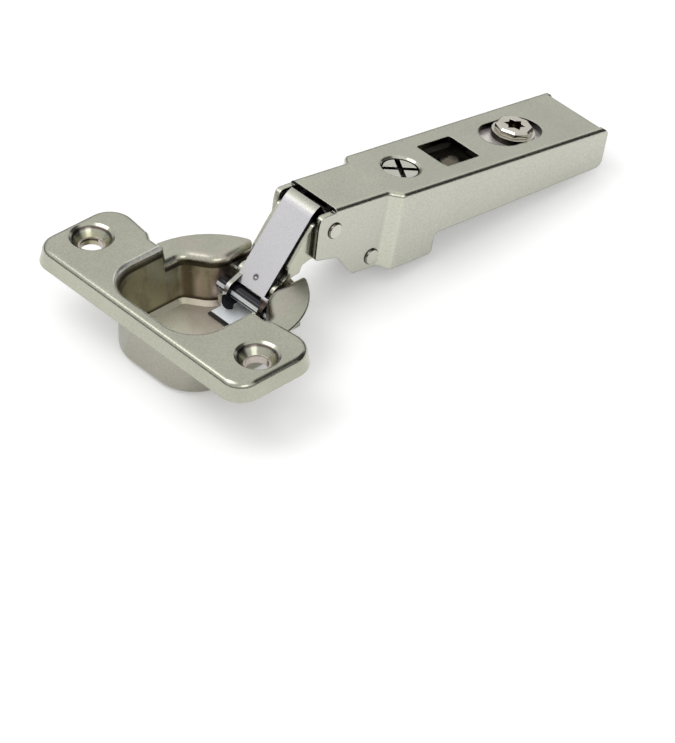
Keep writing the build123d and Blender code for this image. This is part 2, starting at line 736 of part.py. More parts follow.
def make_lever():
    """Rear latch lever: two cheeks with jaws, joined by a front arm and a thumb tab."""
    u, w = lever_pivot
    arm_bottom = lever_arm_top - lever_sheet
    cheek = rounded([
        (lever_front, lever_arm_top),
        (u - 3.2, lever_arm_top),
        (u - 2.0, w + 1.9),
        (u + 2.4, w + 1.6),
        (lever_tab_end - 3.5, lever_tab_top),
        (lever_tab_end, lever_tab_top),
        (lever_tab_end, lever_tab_top - 1.6),
        (u + 4.2, w - 2.0),
        (u + 4.4, lever_jaw_bottom),
        (u + 0.6, lever_jaw_bottom),
        (u + 0.6, lever_jaw_bottom + 1.2),
        (u + 2.4, lever_jaw_bottom + 1.2),
        (u + 2.0, arm_bottom),
        (lever_front, arm_bottom),
    ], {2: 1.6, 3: 1.0, 7: 0.6, 8: 1.0, 9: 0.3, 10: 0.3, 11: 0.3})
    cheeks = both_sides(cheek, lever_half_width - lever_sheet, lever_half_width)
    front_web = slab(polygon([
        (lever_front, arm_bottom), (lever_front + 3.5, arm_bottom),
        (lever_front + 3.5, lever_arm_top), (lever_front, lever_arm_top)]),
        -lever_half_width + 0.2, lever_half_width - 0.2)
    tab = slab(polygon([
        (lever_tab_end - 3.2, lever_tab_top - lever_sheet), (lever_tab_end, lever_tab_top - lever_sheet),
        (lever_tab_end, lever_tab_top), (lever_tab_end - 3.2, lever_tab_top)]),
        -lever_half_width + 0.2, lever_half_width - 0.2)
    lever = cheeks + front_web + tab
    lever -= slab(disc(lever_pivot, lever_pin_radius + pin_gap), -LONG, LONG)
    return ARM_FRAME * lever


def latch_leaf_top():
    """Top face of the leaf under the carrier's web."""
    return carrier_front_top - carrier_sheet - seat_gap


def make_latch_spring():
    """Leaf spring riveted under the carrier's web, its tip under the lever's front arm."""
    top = latch_leaf_top()
    tip = lever_arm_top - lever_sheet - seat_gap
    leaf = rounded([
        (latch_leaf_front, top),
        (joggle_start, top),
        (lever_front - 0.6, tip),
        (latch_leaf_rear, tip),
        (latch_leaf_rear, tip - latch_leaf_sheet),
        (lever_front - 0.8, tip - latch_leaf_sheet),
        (joggle_start - 0.2, top - latch_leaf_sheet),
        (latch_leaf_front, top - latch_leaf_sheet),
    ], {1: 1.0, 2: 1.0, 5: 1.4, 6: 1.4})
    spring = slab(leaf, -latch_leaf_half_width, latch_leaf_half_width)
    spring -= Pos(rivet_u, 0, top) * Cylinder(rivet_shank_radius, 4)
    return ARM_FRAME * spring


def make_spring_rivet():
    """Rivet of the leaf spring, its dome on top of the carrier's web."""
    top = carrier_front_top
    bottom = latch_leaf_top() - latch_leaf_sheet
    step = rivet_dome_height / 2
    waist = 0.8 * rivet_dome_radius
    dome = Pos(0, 0, top + step / 2) * Cone(rivet_dome_radius, waist, step)
    dome += Pos(0, 0, top + 1.5 * step) * Cone(waist, rivet_flat_radius, step)
    shank = Pos(0, 0, bottom - 0.1) * extrude(Circle(rivet_shank_radius), top - bottom + 0.3)
    tail = Pos(0, 0, bottom - 0.8) * extrude(Circle(rivet_shank_radius + 0.8), 0.8)
    return ARM_FRAME * (Pos(rivet_u, 0, 0) * (dome + shank + tail))


NODES = {
    "cup": make_cup,
    "cup_spring": make_cup_spring,
    "outer_link_cup_pin": lambda: make_cup_pin(outer_cup_pivot, outer_cup_pin_radius),
    "inner_link_cup_pin": lambda: make_cup_pin(inner_cup_pivot, inner_cup_pin_radius),
    "outer_link": make_outer_link,
    "inner_link": make_inner_link,
    "outer_link_arm_pin": lambda: make_arm_pin(outer_arm_pivot),
    "inner_link_arm_pin": lambda: make_arm_pin(inner_arm_pivot),
    "arm": make_arm,
    "side_adjusting_screw": make_side_screw,
    "carrier": make_carrier,
    "carrier_hook_pin": make_hook_pin,
    "depth_adjusting_screw": make_depth_screw,
    "depth_screw_washer": make_depth_washer,
    "depth_screw_nut": make_depth_nut,
    "latch_lever": make_lever,
    "latch_lever_pin": make_lever_pin,
    "latch_spring": make_latch_spring,
    "latch_spring_rivet": make_spring_rivet,
}

os.makedirs("parts", exist_ok=True)
for name, maker in NODES.items():
    export_step(maker(), f"parts/{name}.step")
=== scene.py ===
import json
from math import atan2, radians
import bpy
from mathutils import Matrix, Vector


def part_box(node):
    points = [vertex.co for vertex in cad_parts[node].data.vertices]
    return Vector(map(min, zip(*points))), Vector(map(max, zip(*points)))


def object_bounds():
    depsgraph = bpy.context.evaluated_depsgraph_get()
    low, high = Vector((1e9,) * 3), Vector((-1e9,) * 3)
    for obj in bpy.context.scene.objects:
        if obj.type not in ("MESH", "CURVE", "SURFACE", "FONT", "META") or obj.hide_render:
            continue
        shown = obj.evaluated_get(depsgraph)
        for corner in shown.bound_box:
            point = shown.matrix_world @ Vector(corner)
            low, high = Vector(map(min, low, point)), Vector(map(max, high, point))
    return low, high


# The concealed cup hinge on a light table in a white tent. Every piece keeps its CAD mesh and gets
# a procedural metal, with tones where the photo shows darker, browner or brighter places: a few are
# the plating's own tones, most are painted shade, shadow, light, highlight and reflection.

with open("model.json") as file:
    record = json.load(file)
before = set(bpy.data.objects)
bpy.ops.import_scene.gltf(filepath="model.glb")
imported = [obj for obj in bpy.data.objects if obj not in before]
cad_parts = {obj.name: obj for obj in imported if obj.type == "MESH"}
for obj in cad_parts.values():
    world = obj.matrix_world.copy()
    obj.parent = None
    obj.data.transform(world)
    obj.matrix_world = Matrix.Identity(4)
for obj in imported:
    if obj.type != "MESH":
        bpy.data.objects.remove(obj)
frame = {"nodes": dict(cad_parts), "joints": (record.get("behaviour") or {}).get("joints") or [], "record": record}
cad_bounds = [list(corner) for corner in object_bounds()]

MM = 0.001


def mm(*values):
    """Millimetres as metres."""
    return tuple(value * MM for value in values)


# --- places, from the frame's joints, mounts and boxes --------------------------------------
joints = {joint["name"]: joint for joint in frame["joints"]}
mounts = {mount["name"]: mount for mount in frame["record"]["mounts"]}

SCREW_HOLES = mounts["door_screw_holes"]
HOLE_X = SCREW_HOLES["pos_m"][0]
HOLE_Y = SCREW_HOLES["dims"]["spacing_y_mm"] / 2 * MM

CUP_PIN = Vector(joints["door_closing"]["pos_m"])            # where the outer link turns
SIDE_SCREW = Vector(joints["side_screw_turn"]["pos_m"])      # both on the arm's top face
DEPTH_SCREW = Vector(joints["depth_screw_turn"]["pos_m"])
ARM_UP = Vector(joints["side_screw_turn"]["axis"])
ARM_ALONG = Vector((ARM_UP.z, 0, -ARM_UP.x))
ARM_SLOPE = atan2(ARM_UP.x, ARM_UP.z)
SIDE_SCREW_ALONG = 22 * MM                                   # from the arm's front edge
ARM_FRONT = SIDE_SCREW - SIDE_SCREW_ALONG * ARM_ALONG        # middle of that edge
LEAF_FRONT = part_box("cup_spring")[0].x

# --- tones over the plating, linear RGB: its own, painted shade and painted light -----------
TONES = {
    # painted shade: a dark ring on the rounded lip of each screw hole
    "hole_ring_shade": (0.13, 0.11, 0.10),
    "hole_bore": (0.46, 0.41, 0.37),
    "tarnish": (0.50, 0.42, 0.38),
    "below_rim": (0.363, 0.352, 0.298),
    # painted highlight on the wing's rounded lip into the bowl
    "lip_highlight": (0.92, 0.92, 0.84),
    "olive_wall": (0.40, 0.375, 0.225),
    "copper_wall": (0.53, 0.43, 0.37),
    "dark_streak": (0.16, 0.14, 0.095),
    # painted shade along the bend where the bowl's side wall turns inward
    "bend_shade": (0.14, 0.11, 0.075),
    "lip_shadow": (0.07, 0.06, 0.04),
    # painted shade at the foot of the bowl's wall, where it meets the floor
    "foot_shade": (0.09, 0.075, 0.05),
    # painted light: the bowl's floor lighter, where light from above falls on it
    "floor_light": (0.78, 0.77, 0.65),
    # painted reflection: brown over the +X part of the bowl's floor, with a wavy edge
    "floor_reflection": (0.42, 0.35, 0.30),
    # painted shade: the arm's -Y side darker, where less light falls
    "near_side_shade": (0.50, 0.505, 0.438),
    # painted light: the arm's side step lighter, against the shadowed floor it mirrors
    "side_step_light": (0.545, 0.55, 0.46),
    # painted shade: near black on the faces inside the arm's channel
    "arm_inside_shade": (0.035, 0.033, 0.028),
    # painted shade: near black on the walls of the arm's screw hole and window
    "opening_shade": (0.05, 0.045, 0.035),
    # painted shade: near black on the near lug's front cut
    "lug_cut_shade": (0.03, 0.03, 0.03),
    # painted highlight along the middle of the near lug's cut
    "lug_core_highlight": (0.42, 0.42, 0.35),
    # painted shade: near black on the front cut of the arm's web
    "web_cut_shade": (0.03, 0.03, 0.03),
    # painted shade: darker beige on the outer link's curl over the arm pin
    "curl_shade": (0.37, 0.37, 0.32),
    # painted shade: dark ring round the outer link's dimple
    "dimple_ring_shade": (0.22, 0.21, 0.23),
    # painted shade: near black on the outer link's -Y eye
    "near_eye_shade": (0.06, 0.045, 0.038),
    # painted shade: near black on the outer link's -Y flange
    "near_flange_shade": (0.03, 0.03, 0.035),
    # painted light: the carrier bright under the arm's rear slot, where light comes in
    "carrier_rear_light": (0.84, 0.78, 0.74),
    # painted shade: the carrier dark deep in the arm, in front of the rear slot
    "carrier_front_shade": (0.05, 0.045, 0.035),
    # painted shade in the side screw's cross slots
    "cross_slot_shade": (0.03, 0.026, 0.02),
    # painted shade in the depth screw's star recess
    "star_recess_shade": (0.085, 0.06, 0.038),
    # painted shade on the washer's edge
    "washer_edge_shade": (0.03, 0.028, 0.025),
    # painted shadow along the spring leaf's front edge
    "leaf_edge_shadow": (0.015, 0.015, 0.015),
    # painted highlights along the blackened pin
    "wide_gleam": (0.90, 0.95, 1.0),
    "thin_gleam": (0.55, 0.60, 0.66),
    # painted shade in the gap round a rivet's head
    "rivet_gap_shade": (0.05, 0.042, 0.032),
}

# --- shader building ------------------------------------------------------------------------
MIX_FACTOR, MIX_A, MIX_B, MIX_RESULT = 0, 6, 7, 2    # sockets of a colour Mix node
NOISE_SPAN = (0.3, 0.7)                              # most of a noise's values


class Shader:
    """A principled material with helpers that add and join nodes.

    A CAD node's object sits at the origin, so its own coordinates are the row frame's, at rest.
    """

    def __init__(self, name):
        self.material = bpy.data.materials.new(name)
        self.material.use_nodes = True
        self.nodes = self.material.node_tree.nodes
        self.links = self.material.node_tree.links
        self.surface = self.nodes["Principled BSDF"]
        coordinates = self.nodes.new("ShaderNodeTexCoord")
        self.place = coordinates.outputs["Object"]
        self.normal = coordinates.outputs["Normal"]

    def feed(self, socket, value):
        if isinstance(value, bpy.types.NodeSocket):
            self.links.new(value, socket)
        else:
            socket.default_value = value

    def calc(self, operation, a, b=0.0):
        node = self.nodes.new("ShaderNodeMath")
        node.operation = operation
        self.feed(node.inputs[0], a)
        self.feed(node.inputs[1], b)
        return node.outputs[0]

    def vector(self, operation, a, b):
        """A vector operation, whose result is a number for a dot product or a distance."""
        node = self.nodes.new("ShaderNodeVectorMath")
        node.operation = operation
        self.feed(node.inputs[0], a)
        self.feed(node.inputs[1], b)
        return node.outputs["Value" if operation in ("DOT_PRODUCT", "DISTANCE") else "Vector"]

    def axes(self, vector):
        node = self.nodes.new("ShaderNodeSeparateXYZ")
        self.links.new(vector, node.inputs[0])
        return node.outputs

    def turned(self, vector, origin, angle):
        """The vector seen from a frame at origin that is turned about Y."""
        node = self.nodes.new("ShaderNodeMapping")
        node.vector_type = "TEXTURE"
        node.inputs["Location"].default_value = origin
        node.inputs["Rotation"].default_value = (0, angle, 0)
        self.links.new(vector, node.inputs["Vector"])
        return node.outputs["Vector"]

    def mapped(self, value, span, result, interpolation="LINEAR"):
        node = self.nodes.new("ShaderNodeMapRange")
        node.interpolation_type = interpolation
        self.feed(node.inputs["Value"], value)
        node.inputs["From Min"].default_value, node.inputs["From Max"].default_value = span
        node.inputs["To Min"].default_value, node.inputs["To Max"].default_value = result
        return node.outputs["Result"]

    def mask(self, value, span):
        """Smooth mask, 0 where the value is at the span's start and 1 where it is at its end."""
        return self.mapped(value, span, (0.0, 1.0), "SMOOTHSTEP")

    def band(self, value, rise, fall):
        """Mask of the values between a rise and a fall."""
        return self.both(self.mask(value, rise), self.mask(value, fall))

    def both(self, *masks):
        """Product of the masks, so the mask of what is in every one of them."""
        result = masks[0]
        for mask in masks[1:]:
            result = self.calc("MULTIPLY", result, mask)
        return result

    def size(self, value):
        return self.calc("ABSOLUTE", value)

    def gap(self, a, b):
        return self.size(self.calc("SUBTRACT", a, b))

    def length(self, a, b):
        """Length of the arrow that goes a one way and b across it."""
        return self.calc("SQRT", self.calc("ADD", self.both(a, a), self.both(b, b)))

    def noise(self, scale, detail, stretch=(1, 1, 1)):
        mapping = self.nodes.new("ShaderNodeMapping")
        mapping.inputs["Scale"].default_value = stretch
        texture = self.nodes.new("ShaderNodeTexNoise")
        texture.inputs["Scale"].default_value = scale
        texture.inputs["Detail"].default_value = detail
        self.links.new(self.place, mapping.inputs["Vector"])
        self.links.new(mapping.outputs["Vector"], texture.inputs["Vector"])
        return texture.outputs["Fac"]

    def pattern(self, noise, span, result=(0.0, 1.0)):
        """A noise whose values in the span are mapped to the result."""
        return self.mapped(self.noise(*noise), span, result)

    def mix(self, factor, a, b):
        node = self.nodes.new("ShaderNodeMix")
        node.data_type = "RGBA"
        self.feed(node.inputs[MIX_FACTOR], factor)
        for position, colour in ((MIX_A, a), (MIX_B, b)):
            is_socket = isinstance(colour, bpy.types.NodeSocket)
            self.feed(node.inputs[position], colour if is_socket else (*colour, 1))
        return node.outputs[MIX_RESULT]


# --- metal: what every piece is made of -----------------------------------------------------
# A noise is given by its scale per metre, its detail and sometimes its stretch.
CLOUDS = dict(noise=(90, 4), span=NOISE_SPAN)
GRAIN = (2600, 3)
GRAIN_HEIGHT = 0.02 * MM
SMOOTHEST = 0.85             # share of the roughness where the grain is low
ROUGHEST = 1.2
DULLER_BY = 0.11             # roughness added where the duller mask is 1
EDGE_SAMPLES = 4


def plating_colour(shader, grain, tint, shade, marks, fleck):
    """Cloudy tint with the marks' tones over it, lighter and darker with the grain."""
    colour = shader.mix(shader.pattern(**CLOUDS), shade, tint)
    for tone, mask in (marks(shader) if marks else {}).items():
        colour = shader.mix(mask, colour, TONES[tone])
    lightness = shader.nodes.new("ShaderNodeHueSaturation")
    flecks = shader.mapped(grain, NOISE_SPAN, (1 - fleck, 1 + fleck))
    shader.feed(lightness.inputs["Color"], colour)
    shader.feed(lightness.inputs["Value"], flecks)
    return lightness.outputs["Color"]


def plating_roughness(shader, grain, roughness, duller):
    limits = (roughness * SMOOTHEST, roughness * ROUGHEST)
    uneven = shader.mapped(grain, NOISE_SPAN, limits)
    if not duller:
        return uneven
    return shader.calc("ADD", uneven, shader.calc("MULTIPLY", duller(shader), DULLER_BY))


def plating_normal(shader, grain, bump, edge):
    """Grain on a surface whose edges are rounded by a radius in mm."""
    rounded = shader.nodes.new("ShaderNodeBevel")
    rounded.samples = EDGE_SAMPLES
    rounded.inputs["Radius"].default_value = edge * MM
    grained = shader.nodes.new("ShaderNodeBump")
    grained.inputs["Strength"].default_value = bump
    grained.inputs["Distance"].default_value = GRAIN_HEIGHT
    shader.feed(grained.inputs["Height"], grain)
    shader.feed(grained.inputs["Normal"], rounded.outputs["Normal"])
    return grained.outputs["Normal"]


def metal(name, tint, shade, roughness, marks=None, duller=None, stretch=(1, 1, 1), bump=0.06,
          edge=0.12, metallic=1.0, fleck=0.06):
    """Plated or bare steel: cloudy tint, fine fleck, uneven roughness, rounded edges.

    marks is a function that returns {tone: mask}, in the order in which the tones are laid over
    the tint, and duller is one that returns a mask of where the plating is rougher.
    """
    shader = Shader(name)
    grain = shader.noise(*GRAIN, stretch)
    inputs = shader.surface.inputs
    shader.feed(inputs["Base Color"], plating_colour(shader, grain, tint, shade, marks, fleck))
    shader.feed(inputs["Roughness"], plating_roughness(shader, grain, roughness, duller))
    shader.feed(inputs["Normal"], plating_normal(shader, grain, bump, edge))
    shader.feed(inputs["Metallic"], metallic)
    return shader.material


# --- cup ------------------------------------------------------------------------------------
# Here and below, a pair of values says where a mask begins and where it is full.
HOLE_BORE = mm(2.6, 2.4)                         # radius
HOLE_RING = mm(3.25, 3.5), mm(3.85, 3.65)        # radius, rise and fall
TARNISH_START = mm(2, 5)                         # along X
TARNISH_SPOTS = dict(noise=(230, 3), span=(0.45, 0.65), result=(0.0, 0.45))
BELOW_RIM = mm(-0.4, -1.6)                       # height

BOWL_MIDDLE = mm(-4, 0, -1)
WING_LIP_RISE = 3.7 * MM                         # of the lip at the wing over the crescents' lip
WING_SIDE = mm(-0.8, -1.6)                       # along X
LOOKS_INTO_BOWL = mm(0.5, 3)
INSIDE_TOP = mm(-0.6, -2.2)                      # from the lip
LEVEL = (0.55, 0.95)                             # upward part of a normal
UPRIGHT = (0.4, 0.25)

LIP_LOOKS_INTO_BOWL = mm(0, 1)
LIP_ROUNDING = (0.1, 0.3), (0.97, 0.85)          # upward part of a normal, rise and fall
LIP_HEIGHT = mm(1.5, 2.2)
LIP_REAR = mm(-1, -2)                            # along X
LIP_HALF_LENGTH = mm(15, 14)

OLIVE_BANDS = dict(noise=(420, 2, (1, 1, 0.12)), span=(0.38, 0.62), result=(0.5, 1.0))
COPPER_START = mm(3, 5)                          # along X
DARK_STREAKS = dict(noise=(380, 3, (1, 1, 0.45)), span=(0.47, 0.62), result=(0.0, 0.5))
WALL_BEND = 3.6 * MM                             # X where the side wall turns inward
BEND_WIDTH = mm(1.3, 0.3)
BEND_UPRIGHT = (0.5, 0.2)
LIP_SHADOW = mm(-2.75, -2.35)                    # from the lip
WALL_FOOT = mm(-8.7, -9.4)                       # height
BROWN_START = mm(-5, 5)                          # along X
BROWN_SHIFT = dict(noise=(150, 3), span=NOISE_SPAN, result=mm(-2.5, 2.5))
BROWN_MOST = 0.65

FLOOR_DULLER = 2.8                               # these three are shares of DULLER_BY
CRESCENTS_DULLER = 0.9
LIP_DULLER = 1.0
CRESCENTS_START = mm(1.5, 3)                     # along X


def bowl_facing(shader):
    """Distance from a face's plane to the bowl's middle, on the side where the face looks."""
    towards = shader.vector("SUBTRACT", BOWL_MIDDLE, shader.place)
    return shader.vector("DOT_PRODUCT", towards, shader.normal)


def height_from_lip(shader):
    """Height from the bowl's lip, which is higher at the wing than at the crescents."""
    x, _, z = shader.axes(shader.place)
    rise = shader.calc("MULTIPLY", shader.mask(x, WING_SIDE), WING_LIP_RISE)
    return shader.calc("SUBTRACT", z, rise)


def bowl_inside(shader):
    """Mask of the bowl's walls and floor, from below its lip."""
    return shader.both(shader.mask(bowl_facing(shader), LOOKS_INTO_BOWL),
                       shader.mask(height_from_lip(shader), INSIDE_TOP))


def wing_lip(shader):
    """Mask of the rounding from the wing's top into the bowl."""
    x, y, z = shader.axes(shader.place)
    _, _, normal_z = shader.axes(shader.normal)
    return shader.both(shader.mask(bowl_facing(shader), LIP_LOOKS_INTO_BOWL),
                       shader.band(normal_z, *LIP_ROUNDING),
                       shader.mask(x, LIP_REAR),
                       shader.mask(z, LIP_HEIGHT),
                       shader.mask(shader.size(y), LIP_HALF_LENGTH))


def cup_duller(shader):
    """Rougher in the bowl, most of all on its floor, and on its lip and the crescents."""
    x, _, _ = shader.axes(shader.place)
    _, _, normal_z = shader.axes(shader.normal)
    level = shader.mask(normal_z, LEVEL)
    inside = bowl_inside(shader)
    floor = shader.both(inside, level)
    crescents = shader.both(level, shader.mask(x, CRESCENTS_START))
    total = inside
    for mask, weight in ((floor, FLOOR_DULLER), (crescents, CRESCENTS_DULLER),
                         (wing_lip(shader), LIP_DULLER)):
        total = shader.calc("ADD", total, shader.calc("MULTIPLY", mask, weight))
    return total


def cup_outside_marks(shader):
    """Painted shade as a dark ring on each screw hole's lip, tarnish on the crescents, darker below the rim."""
    x, y, z = shader.axes(shader.place)
    off_x = shader.calc("SUBTRACT", x, HOLE_X)
    off_y = shader.calc("SUBTRACT", shader.size(y), HOLE_Y)
    radius = shader.length(off_x, off_y)
    spots = shader.pattern(**TARNISH_SPOTS)
    return {
        "hole_ring_shade": shader.band(radius, *HOLE_RING),
        "hole_bore": shader.mask(radius, HOLE_BORE),
        "tarnish": shader.both(spots, shader.mask(x, TARNISH_START)),
        "below_rim": shader.mask(z, BELOW_RIM),
    }


def bowl_marks(shader):
    """Olive and copper walls, streaked; painted shade under the lip, on the bend and at the foot; a painted
    highlight on the wing's lip; painted light and a painted brown reflection on the floor.
    """
    x, _, z = shader.axes(shader.place)
    _, _, normal_z = shader.axes(shader.normal)
    inside = bowl_inside(shader)
    wall = shader.both(inside, shader.mask(normal_z, UPRIGHT))
    floor = shader.both(inside, shader.mask(normal_z, LEVEL))
    olive = shader.both(inside, shader.pattern(**OLIVE_BANDS))
    bend = shader.both(inside, shader.mask(shader.gap(x, WALL_BEND), BEND_WIDTH))
    brown = shader.mask(shader.calc("ADD", x, shader.pattern(**BROWN_SHIFT)), BROWN_START)
    return {
        "lip_highlight": wing_lip(shader),
        "olive_wall": olive,
        "copper_wall": shader.both(olive, shader.mask(x, COPPER_START)),
        "dark_streak": shader.both(wall, shader.pattern(**DARK_STREAKS)),
        "bend_shade": shader.both(bend, shader.mask(normal_z, BEND_UPRIGHT)),
        "lip_shadow": shader.both(wall, shader.mask(height_from_lip(shader), LIP_SHADOW)),
        "foot_shade": shader.both(wall, shader.mask(z, WALL_FOOT)),
        "floor_light": floor,
        "floor_reflection": shader.both(floor, brown, BROWN_MOST),
    }


def cup_marks(shader):
    return {**cup_outside_marks(shader), **bowl_marks(shader)}


# --- arm ------------------------------------------------------------------------------------
# Places in the arm are along, across and up from the middle of its front edge.
ARM_MIDDLE_UP = -5 * MM                          # height of the middle of the channel
LOOKS_INTO_ARM = mm(0.4, 1.2)
BEHIND_FRONT = mm(-0.6, 0.8)                     # along
BEFORE_REAR_SLOT = mm(43, 42)                    # along
OPENING_UPRIGHT = (0.5, 0.25)
OPENING_HALF_WIDTH = mm(5.6, 5)
OPENING_UP = mm(-1.5, -1.2)
NEAR_SIDE = (-0.8, -0.95)                        # part of a normal across
NEAR_SIDE_MOST = 0.8
STEP_ALONG = (0.3, 0.5)                          # parts of a normal
STEP_ACROSS = (0.4, 0.6)
FRONT_CUT = (-0.75, -0.95)                       # part of a normal along
NEAR_LUG = mm(0, -1)                             # across
LUG_MIDDLE = -5.65 * MM                          # across
LUG_CORE = mm(0.32, 0.15)                        # from the lug's middle
WEB_CUT = mm(-1.2, -0.8)                         # along


def arm_place(shader, origin=ARM_FRONT):
    return shader.axes(shader.turned(shader.place, origin, ARM_SLOPE))


def arm_normal(shader):
    return shader.axes(shader.turned(shader.normal, (0, 0, 0), ARM_SLOPE))


def arm_inside_shade(shader):
    """Mask of the faces that look into the arm's channel, behind its front edge, where shade is painted."""
    along, across, up = arm_place(shader)
    _, normal_across, normal_up = arm_normal(shader)
    outward = shader.calc("MULTIPLY", across, normal_across)
    height = shader.calc("SUBTRACT", ARM_MIDDLE_UP, up)
    inward = shader.calc("SUBTRACT", shader.calc("MULTIPLY", height, normal_up), outward)
    return shader.both(shader.mask(inward, LOOKS_INTO_ARM), shader.mask(along, BEHIND_FRONT))


def opening_walls(shader):
    """Mask of the walls of the screw hole and the window in the arm's top, where shade is painted."""
    along, across, up = arm_place(shader)
    _, _, normal_up = arm_normal(shader)
    return shader.both(shader.mask(shader.size(normal_up), OPENING_UPRIGHT),
                       shader.mask(shader.size(across), OPENING_HALF_WIDTH),
                       shader.mask(up, OPENING_UP),
                       shader.mask(along, BEFORE_REAR_SLOT))


def arm_marks(shader):
    """Painted shade: darker on the -Y side, near black inside, in the openings and on the cut edges at the front;
    painted light on the side step and a painted highlight along the lug's cut.
    """
    along, across, _ = arm_place(shader)
    normal_along, normal_across, _ = arm_normal(shader)
    front_cut = shader.mask(normal_along, FRONT_CUT)
    lug_cut_shade = shader.both(front_cut, shader.mask(across, NEAR_LUG))
    return {
        "near_side_shade": shader.both(shader.mask(normal_across, NEAR_SIDE), NEAR_SIDE_MOST),
        "side_step_light": shader.both(shader.mask(shader.size(normal_along), STEP_ALONG),
                                 shader.mask(shader.size(normal_across), STEP_ACROSS)),
        "arm_inside_shade": arm_inside_shade(shader),
        "opening_shade": opening_walls(shader),
        "lug_cut_shade": lug_cut_shade,
        "lug_core_highlight": shader.both(lug_cut_shade, shader.mask(shader.gap(across, LUG_MIDDLE), LUG_CORE)),
        "web_cut_shade": shader.both(front_cut, shader.mask(along, WEB_CUT)),
    }


# --- outer link -----------------------------------------------------------------------------
# Places in its strip are along, across and up from the cup pin.
STRIP_RISE = radians(49.77)
DIMPLE = mm(4.3, 0, 1.12)
DIMPLE_RING = mm(0.25, 0.42), mm(0.72, 0.58)     # radius, rise and fall
NEAR_EYE_ALONG = mm(1.9, 1.5)
NEAR_EYE_ACROSS = mm(-2.4, -2.8)
NEAR_FLANGE = (-0.55, -0.85)                     # part of a normal across
CURL = (0.66, 0.86)                              # upward part of a normal


def outer_link_marks(shader):
    """Painted shade: darker beige on the curl over the arm pin, a dark ring round the dimple, near black on the -Y
    flange and its eye.
    """
    _, normal_y, normal_z = shader.axes(shader.normal)
    on_strip = shader.turned(shader.place, CUP_PIN, -STRIP_RISE)
    along, across, _ = shader.axes(on_strip)
    return {
        "curl_shade": shader.mask(normal_z, CURL),
        "dimple_ring_shade": shader.band(shader.vector("DISTANCE", on_strip, DIMPLE), *DIMPLE_RING),
        "near_eye_shade": shader.both(shader.mask(along, NEAR_EYE_ALONG), shader.mask(across, NEAR_EYE_ACROSS)),
        "near_flange_shade": shader.mask(normal_y, NEAR_FLANGE),
    }


# --- carrier, in the arm --------------------------------------------------------------------
CARRIER_REAR = mm(42, 43.5)                      # along the arm
CARRIER_HALF_WIDTH = mm(5.4, 4.6)


def carrier_marks(shader):
    """Painted light under the arm's rear slot, where light comes in, and painted shade in the deep of the arm in
    front of it.
    """
    along, across, _ = arm_place(shader)
    middle = shader.mask(shader.size(across), CARRIER_HALF_WIDTH)
    return {
        "carrier_rear_light": shader.both(middle, shader.mask(along, CARRIER_REAR)),
        "carrier_front_shade": shader.both(middle, shader.mask(along, CARRIER_REAR[::-1])),
    }


# --- screws and washer, in the arm ----------------------------------------------------------
# Heights are over the arm's top face.
CROSS_SLOT_UP = mm(-0.6, -0.85)
STAR_RECESS_UP = mm(1.15, 0.9)
STAR_RECESS_RADIUS = mm(2.4, 2.2)
WASHER_EDGE = (0.9, 0.6)                         # part of a normal up


def side_screw_marks(shader):
    """Painted shade, near black in the cross slots."""
    _, _, up = arm_place(shader)
    return {"cross_slot_shade": shader.mask(up, CROSS_SLOT_UP)}


def depth_screw_marks(shader):
    """Painted shade, dark brown in the star recess."""
    forward, across, up = arm_place(shader, DEPTH_SCREW)
    within = shader.mask(shader.length(forward, across), STAR_RECESS_RADIUS)
    return {"star_recess_shade": shader.both(within, shader.mask(up, STAR_RECESS_UP))}


def washer_marks(shader):
    """Painted shade, near black on the edge below a bright top."""
    _, _, normal_up = arm_normal(shader)
    return {"washer_edge_shade": shader.mask(normal_up, WASHER_EDGE)}


# --- spring, pins and rivets ----------------------------------------------------------------
LEAF_EDGE = (LEAF_FRONT + 0.85 * MM, LEAF_FRONT + 0.6 * MM)
WIDE_GLEAM = (0.02, 0.12), (0.62, 0.48)          # upward part of a normal, rise and fall
THIN_GLEAM = (-0.45, -0.38), (-0.20, -0.28)
RIVET_GAP = (0.92, 0.6)                          # part of a normal across


def spring_marks(shader):
    """Painted shadow along the front edge of the leaf."""
    x, _, _ = shader.axes(shader.place)
    return {"leaf_edge_shadow": shader.mask(x, LEAF_EDGE)}


def pin_marks(shader):
    """Painted highlights along a blackened pin."""
    _, _, normal_z = shader.axes(shader.normal)
    return {
        "wide_gleam": shader.band(normal_z, *WIDE_GLEAM),
        "thin_gleam": shader.band(normal_z, *THIN_GLEAM),
    }


def rivet_marks(shader):
    """Painted shade in the gap around a rivet's head."""
    _, normal_y, _ = shader.axes(shader.normal)
    return {"rivet_gap_shade": shader.mask(shader.size(normal_y), RIVET_GAP)}


